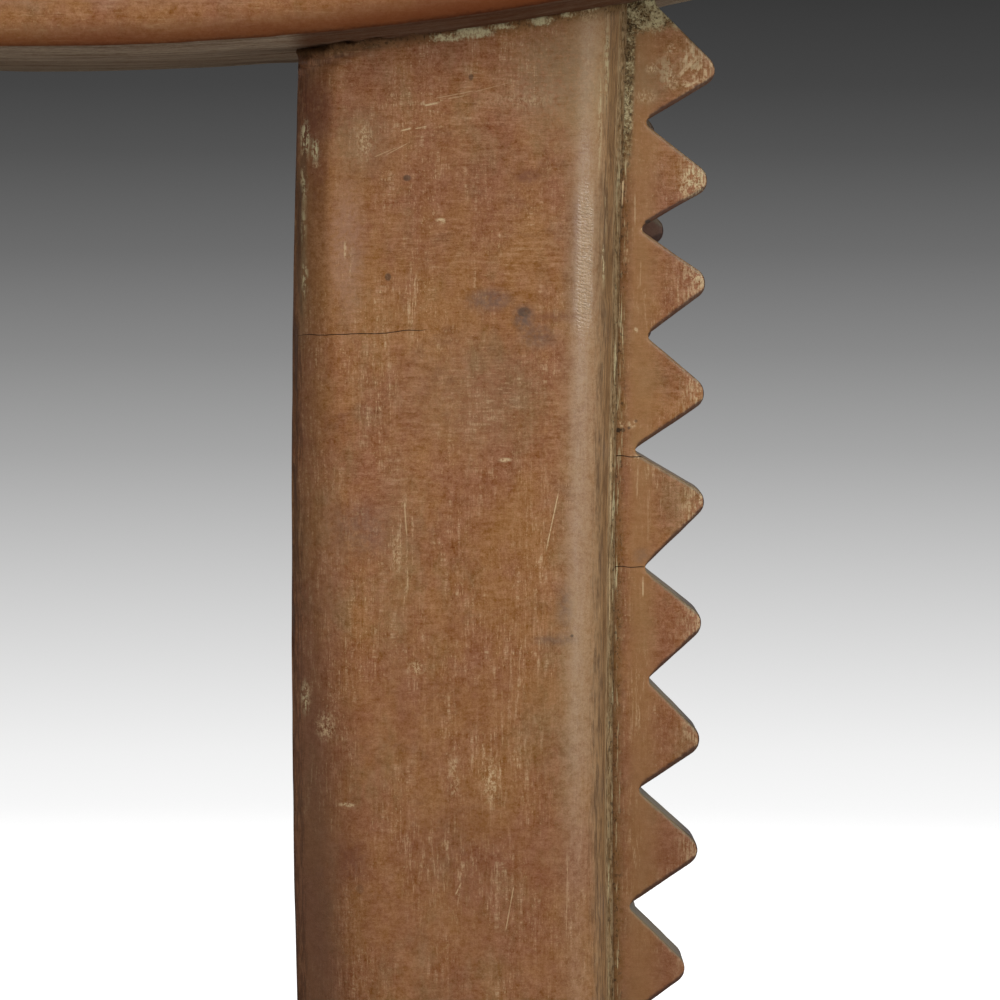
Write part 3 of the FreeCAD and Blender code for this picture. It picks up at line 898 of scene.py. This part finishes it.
def lip_colour(g, colour, f):
    """The seat's long sides: dark red and dull towards their lower edge and their ends, the
    darkening at the lower edge partly a painted shade of its rounding.
    """
    lift = g.plus(g.attribute("lift"), g.off_middle(f.crumbs, 2.5))
    side = g.ramp(g.attribute("lift"), 36.0, 30.0)
    outward = g.math("ABSOLUTE", g.split(g.place)["X"])
    broad = g.noise(26 * MM, (2.5, 1, 0.6), seed=3.9, detail=4.0, rough=0.65)
    drift = g.plus(outward, g.off_middle(broad, 60 * MM))
    colour = g.tint(colour, LIP_RED, g.ramp(drift, *LIP_REDDEN), side, 0.6)
    colour = g.tint(colour, LIP_RED, g.ramp(broad, 0.54, 0.68), side, 0.35)
    high = g.times(g.ramp(lift, 8.0, 14.0), side)
    colour = g.tint(colour, MAUVE, g.ramp(broad, 0.54, 0.42), high, 0.4)
    # Partly dark red wood, partly painted shade where the lip rounds under towards its lower
    # edge.
    colour = g.tint(colour, LIP_RED, g.ramp(lift, 9.5, 2.0), 0.78)
    colour = g.tint(colour, RIM_DARK, g.ramp(lift, 2.2, 0.6), 0.6)
    return colour, g.times(g.ramp(g.attribute("lift"), 9.0, 3.0), 0.9)


def inner_corner(g, colour, f, foot):
    """Dark patina and painted shade along a leg's inner corners, which turn away from the light,
    wider and darker at the foot.
    """
    from_inner = g.attribute("from_inner")
    wobbly = g.plus(from_inner, g.off_middle(f.streak, CORNER_WOBBLE))
    # Painted shade over a real patina: the inner corner is darkened where it turns away from the
    # light.
    dark = g.ramp(g.minus(wobbly, g.times(foot, 5.0)), 11.0, 1.5)
    colour = g.tint(colour, CORNER_PATINA_AND_SHADE, dark, g.plus(0.52, g.times(foot, 0.2)))
    lines = g.times(g.ramp(from_inner, 4.0, 2.0), g.ramp(f.streak, 0.56, 0.44))
    return g.tint(colour, RIM_DARK, lines, 0.45)


def outer_corner(g, colour, f, low):
    """Dust on a leg's outer corners, and tan streaks and fine threads along their far edge."""
    from_outer = g.attribute("from_outer")
    wobbly = g.plus(from_outer, g.off_middle(f.streak, CORNER_WOBBLE))
    dusty = g.times(g.ramp(wobbly, 17.0, 9.0), g.minus(1.0, g.times(low, 0.7)))
    share = g.plus(0.4, g.times(g.ramp(f.weave, 0.4, 0.6), 0.35))
    colour = g.tint(colour, WORN, dusty, share)
    outer = g.ramp(wobbly, 6.0, 2.5)
    striped = g.mix(g.ramp(f.streak, 0.38, 0.6), TAN_DARK, TAN_LIGHT)
    colour = g.tint(colour, striped, outer, 0.85)
    thread = g.noise(0.7 * MM, (1, 1, 14), seed=8.8, rough=0.9)
    thread = g.plus(thread, g.off_middle(f.crumbs, 0.35))
    colour = g.tint(colour, RIM_DARK, outer, g.ramp(thread, 0.42, 0.34), 0.25)
    colour = g.tint(colour, PALE_FLECK, outer, g.ramp(thread, 0.58, 0.66), 0.25)
    edge = g.times(g.ramp(from_outer, 0.8, 0.3), g.ramp(thread, 0.46, 0.54))
    return g.tint(colour, PALE_FLECK, edge, 0.6)


def polished_ribs(g, colour, height, f, low):
    """A polished strip along a leg's outer corners, with fine ribs across part of it, a painted
    highlight along its narrow middle and painted shade just beside that.
    """
    from_outer = g.attribute("from_outer")
    ribbed = g.ramp(g.math("ABSOLUTE", g.minus(g.height_up, RIB_MIDDLE)), RIB_SPAN, RIB_SPAN / 2)
    below_top = g.ramp(g.height_up, *TOP_DULL)
    shine = g.plus(0.1, g.times(below_top, 0.4), g.times(ribbed, 0.85), g.times(low, -0.4))
    streaky = g.plus(0.5, g.times(g.ramp(f.streak, 0.4, 0.6), 0.5))
    strip = g.times(g.ramp(from_outer, 5.0, 7.5), g.ramp(from_outer, 13.5, 9.5))
    highlight_strip = g.times(g.ramp(from_outer, 5.8, 7.2), g.ramp(from_outer, 11.5, 9.5))
    shade_beside_highlight = g.times(g.ramp(from_outer, 15.5, 12.5), g.minus(1.0, highlight_strip), ribbed)
    # Painted highlight: the narrow middle of the strip is paled where the ribs are.
    colour = g.tint(colour, PALE_FLECK, highlight_strip, ribbed, 0.25)
    # Painted shade: the wood beside that highlight is darkened.
    colour = g.vector("SCALE", colour, g.minus(1.0, g.times(shade_beside_highlight, 0.11)))
    wave = g.minus(g.times(g.height_up, 2 * math.pi / RIB_PITCH), g.times(from_outer, RIB_SLANT))
    ribs = g.math("SINE", g.plus(wave, g.times(f.crumbs, RIB_DISORDER)))
    patchy = g.plus(0.4, g.times(g.ramp(f.streak, 0.44, 0.56), 0.6))
    height = g.plus(height, g.times(highlight_strip, ribs, ribbed, patchy, RIB_HEIGHT))
    return colour, height, g.times(strip, shine, streaky)


def leg_wood(g, colour, height, f):
    """A leg's foot darkened as a painted shade, its corners, and its top brightened as a painted
    light.
    """
    foot, low = g.ramp(g.height_up, *LEG_FOOT_SHADE), g.ramp(g.height_up, *LEG_DULL)
    # Painted shade: the foot is turned towards deep brown where less light reaches it.
    colour = g.tint(colour, DEEP_BROWN, foot, 0.18)
    colour = outer_corner(g, inner_corner(g, colour, f, foot), f, low)
    # Painted light: the colour is brightened just below the seat to offset the seat's shade.
    colour = g.vector("SCALE", colour, g.plus(1.0, g.times(g.ramp(g.height_up, *TOP_PAINTED_LIGHT), 0.24)))
    return polished_ribs(g, colour, height, f, low)


def flange_colour(g, colour, f, rubbed):
    """A golden root, tips rubbed pale, rear flanges darkened partly as painted shade, dusty upper
    flanks, and dark rims and lower flanks.
    """
    tip, lean, upward = g.attribute("tip"), g.attribute("lean"), g.split(g.facing)["Z"]
    ragged = g.off_middle(f.crumbs, 0.22)
    colour = g.tint(colour, GOLDEN, g.ramp(tip, 0.1, 0.24), g.ramp(tip, 0.54, 0.3), 0.6)
    broken = g.times(
        g.ramp(f.crumbs, 0.4, 0.54), g.ramp(f.streak, 0.42, 0.56), g.ramp(f.fleck, 0.36, 0.5)
    )
    colour = g.tint(colour, PALE_FLECK, g.ramp(tip, 0.55, 0.88), broken, 0.7 * rubbed)
    foot = g.times(g.ramp(g.height_up, *FLANGE_DARK), 0.36)
    # Rear flanges turn towards dark brown: partly unrubbed wood, partly painted shade.
    colour = g.mix(foot, g.mix(1.0 - rubbed, colour, REAR_SHADE_BROWN), DEEP_BROWN)
    upper = g.math("MAXIMUM", g.ramp(g.plus(lean, ragged), 0.22, 0.4), g.ramp(upward, 0.2, 0.45))
    dusty = g.minus(0.75, g.times(g.ramp(g.height_up, *FLANGE_CLEAN), 0.3))
    colour = g.tint(colour, DUST, upper, dusty)
    nose = g.ramp(g.math("ABSOLUTE", g.split(g.facing)["X"]), 0.35, 0.7)
    nose = g.times(nose, g.ramp(tip, 0.6, 0.8))
    lower = g.ramp(g.plus(lean, ragged), -0.14, -0.3)
    lower = g.math("MAXIMUM", lower, g.ramp(upward, -0.2, -0.45))
    return g.tint(colour, RIM_DARK, g.math("MAXIMUM", nose, lower), 0.85)


def joint_dirt(g, colour, f):
    """Soil, a dark line and dark specks in the corners where members meet."""
    gap = g.attribute("gap")
    ragged = g.plus(gap, g.off_middle(f.crumbs, 2.2))
    soil = g.ramp(ragged, 4.2, 1.0)
    colour = g.tint(colour, SOIL, soil, 0.55)
    line = g.ramp(g.plus(gap, g.off_middle(f.crumbs, 0.8)), 1.2, 0.4)
    colour = g.tint(colour, RIM_DARK, line, 0.35)
    thread = g.noise(1.2 * MM, (1, 1, 14), seed=8.2, rough=0.8)
    upright = g.ramp(g.height_up, *UPRIGHT_JOINT)
    pale = g.times(g.ramp(ragged, 2.6, 1.2), g.ramp(thread, 0.54, 0.64), upright)
    colour = g.tint(colour, CRUST, pale, 0.55)
    speckle = g.noise(0.9 * MM, (1, 1, 1.6), seed=6.1, rough=0.7)
    specks = g.times(g.ramp(ragged, 3.2, 1.4), g.ramp(speckle, 0.56, 0.64))
    return g.tint(colour, SPECK, specks, 0.6), soil


def flange_grit(g, colour, soiled, f):
    """Black and cream grit packed under the seat, and soil that runs down beside the leg."""
    below, gap = g.attribute("below"), g.attribute("gap")
    fine = g.noise(0.85 * MM, seed=9.3, rough=0.8)
    clumps = g.noise(3.0 * MM, seed=6.6, detail=2.0)
    outward = g.times(g.minus(g.attribute("tip"), 0.2), 0.2)
    grit = g.plus(fine, g.off_middle(clumps, 0.5), g.math("MINIMUM", outward, 0.06))
    packed = g.ramp(g.plus(below, g.off_middle(f.crumbs, 6.0)), 9.5, 6.5)
    reach = g.plus(below, g.off_middle(f.streak, 14.0))
    down = g.times(g.ramp(reach, 44.0, 28.0), g.ramp(gap, 3.2, 2.0))
    dirty = g.math("MAXIMUM", packed, g.times(down, 0.85))
    grains = g.mix(g.times(g.ramp(grit, 0.4, 0.68), 0.85), GRIT_TAN, CRUST)
    black = g.noise(0.75 * MM, seed=2.2, detail=2.0, rough=0.7)
    black = g.plus(black, g.off_middle(clumps, -0.45), g.times(outward, -0.8))
    grains = g.tint(grains, SPECK, g.ramp(black, 0.52, 0.6), 0.85)
    return g.tint(colour, grains, dirty, 0.9), g.math("MAXIMUM", soiled, dirty)


def finish_wood(g, colour, height, polish, matt, streak):
    """A dull waxed surface, glossier where it is polished and dry where it is dirty or bare."""
    bump = g.add("ShaderNodeBump", Strength=1.0, Distance=RELIEF, Height=height)
    dry = g.math("MINIMUM", matt, 1.0)
    varied = g.plus(ROUGH, g.off_middle(streak, STREAK_ROUGH))
    rough = g.plus(varied, g.times(dry, DRY_ROUGH), g.times(polish, POLISH_ROUGH))
    shine = g.times(g.plus(GLOSS, g.times(polish, POLISH_GLOSS)), g.minus(1.0, dry))
    shader = g.add("ShaderNodeBsdfPrincipled", Roughness=rough, Normal=bump.outputs[0])
    g.feed(shader.inputs["Base Color"], colour)
    g.feed(shader.inputs["Specular IOR Level"], shine)
    return g.finish(shader.outputs[0])


# Members

def dress_members():
    """Replaces every member by its carved mesh, in a wood cut from the same block."""
    trees = {node: solid_tree(node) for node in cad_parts}
    materials = {node: wood(node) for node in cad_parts}
    for number, node in enumerate(sorted(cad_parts)):
        piece = carve(node, seed=SEED_STEP * number + FIRST_SEED, trees=trees)
        piece.data.materials.clear()
        piece.data.materials.append(materials[node])
        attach(piece, "root")
        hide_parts(node)


# Stage, light and camera

FLOOR_RADIUS = 3.0
FLOOR_SIDES = 128
FLOOR_TONE = 0.6
# The floor's own white, low near the stool so that its shadow shows and higher farther out.
FLOOR_GLOW = (0.5, 1.00)
# Where that white rises and where the floor fades into the backdrop, in metres from the
# stool's middle. A step along X counts as a shorter one, because the stool is long that way.
GLOW_RISE = (0.17, 0.29)
FLOOR_FADE = (0.42, 0.8)
FLOOR_SQUEEZE = 0.6
# Tones of the backdrop by the sine of the angle above the horizon.
BACKDROP_TONES = (
    (-0.146, 255), (-0.125, 241), (-0.104, 219), (-0.0625, 165), (-0.0415, 136),
    (-0.0208, 108), (0.0, 83), (0.0135, 69), (0.04, 50),
)
AMBIENT = 0.34
LAMPS = (
    # name, azimuth to the right of the front, elevation, distance, width, height, watts
    ("key", 28, 24, 1.7, 0.6, 1.0, 17.5),
    ("fill", -30, 12, 2.2, 1.4, 1.2, 1.0),
    ("top", 10, 65, 1.8, 1.4, 1.0, 8.0),
)
LAMP_TARGET = Vector((0.1, 0.0, 0.22))


def make_floor():
    """A pale floor that fades out into the backdrop."""
    bpy.ops.mesh.primitive_circle_add(vertices=FLOOR_SIDES, radius=FLOOR_RADIUS, fill_type="NGON")
    floor = bpy.context.object
    floor.name = "floor"
    g = Graph(bpy.data.materials.new("floor_pale"))
    diffuse = g.add("ShaderNodeBsdfDiffuse", Color=(FLOOR_TONE, FLOOR_TONE, FLOOR_TONE, 1))
    camera_ray = g.add("ShaderNodeLightPath").outputs["Is Camera Ray"]
    radius = g.vector("LENGTH", g.moved(stretch=(1 / FLOOR_SQUEEZE, 1, 1)))
    near, far = FLOOR_GLOW
    white = g.plus(near, g.times(g.ramp(radius, *GLOW_RISE), far - near))
    glow = g.add("ShaderNodeEmission", Strength=g.times(camera_ray, white))
    lit = g.joined("ShaderNodeAddShader", diffuse.outputs[0], glow.outputs[0])
    clear = g.add("ShaderNodeBsdfTransparent").outputs[0]
    seen = g.times(g.ramp(radius, *FLOOR_FADE), camera_ray)
    floor.data.materials.append(g.finish(g.joined("ShaderNodeMixShader", seen, lit, clear)))


def make_world():
    """Soft even light, and a backdrop that only the camera sees."""
    g = Graph(bpy.data.worlds.new("studio"))
    low, high = BACKDROP_TONES[0][0], BACKDROP_TONES[-1][0]
    spread = g.add("ShaderNodeMapRange", Value=g.split(g.direction)["Z"])
    spread.inputs["From Min"].default_value = low
    spread.inputs["From Max"].default_value = high
    tones = g.add("ShaderNodeValToRGB", Fac=spread.outputs["Result"])
    ramp = tones.color_ramp
    while len(ramp.elements) < len(BACKDROP_TONES):
        ramp.elements.new(0.5)
    for element, (sine, tone) in zip(ramp.elements, BACKDROP_TONES):
        element.position = (sine - low) / (high - low)
        element.color = linear(tone, tone, tone)
    seen = g.add("ShaderNodeBackground", Color=tones.outputs[0])
    ambient = g.add("ShaderNodeBackground", Color=(1, 1, 1, 1), Strength=AMBIENT)
    camera_ray = g.add("ShaderNodeLightPath").outputs["Is Camera Ray"]
    mixed = g.joined("ShaderNodeMixShader", camera_ray, ambient.outputs[0], seen.outputs[0])
    bpy.context.scene.world = g.finish(mixed, "ShaderNodeOutputWorld")


def make_lamps():
    for name, azimuth, elevation, distance, width, height, watts in LAMPS:
        a, e = math.radians(azimuth), math.radians(elevation)
        away = Vector((math.sin(a) * math.cos(e), -math.cos(a) * math.cos(e), math.sin(e)))
        data = bpy.data.lights.new(name, "AREA")
        data.shape = "RECTANGLE"
        data.size, data.size_y = width, height
        data.energy = watts
        lamp = bpy.data.objects.new(name, data)
        lamp.location = LAMP_TARGET + away * distance
        lamp.rotation_mode = "QUATERNION"
        lamp.rotation_quaternion = (-away).to_track_quat("-Z", "Y")
        bpy.context.scene.collection.objects.link(lamp)


def make_camera():
    """Looks down a little at the right front leg, from in front of it."""
    data = bpy.data.cameras.new("camera")
    data.sensor_width = SENSOR_MM
    data.lens = SENSOR_MM * REACH_PIXELS / FRAME_PIXELS
    camera = bpy.data.objects.new("camera", data)
    camera.location = CAMERA_PLACE
    camera.rotation_mode = "QUATERNION"
    camera.rotation_quaternion = (CAMERA_AIM - CAMERA_PLACE).to_track_quat("-Z", "Y")
    bpy.context.scene.collection.objects.link(camera)
    bpy.context.scene.camera = camera


dress_members()
make_floor()
make_world()
make_lamps()
make_camera()
bpy.context.scene.view_settings.view_transform = "Standard"
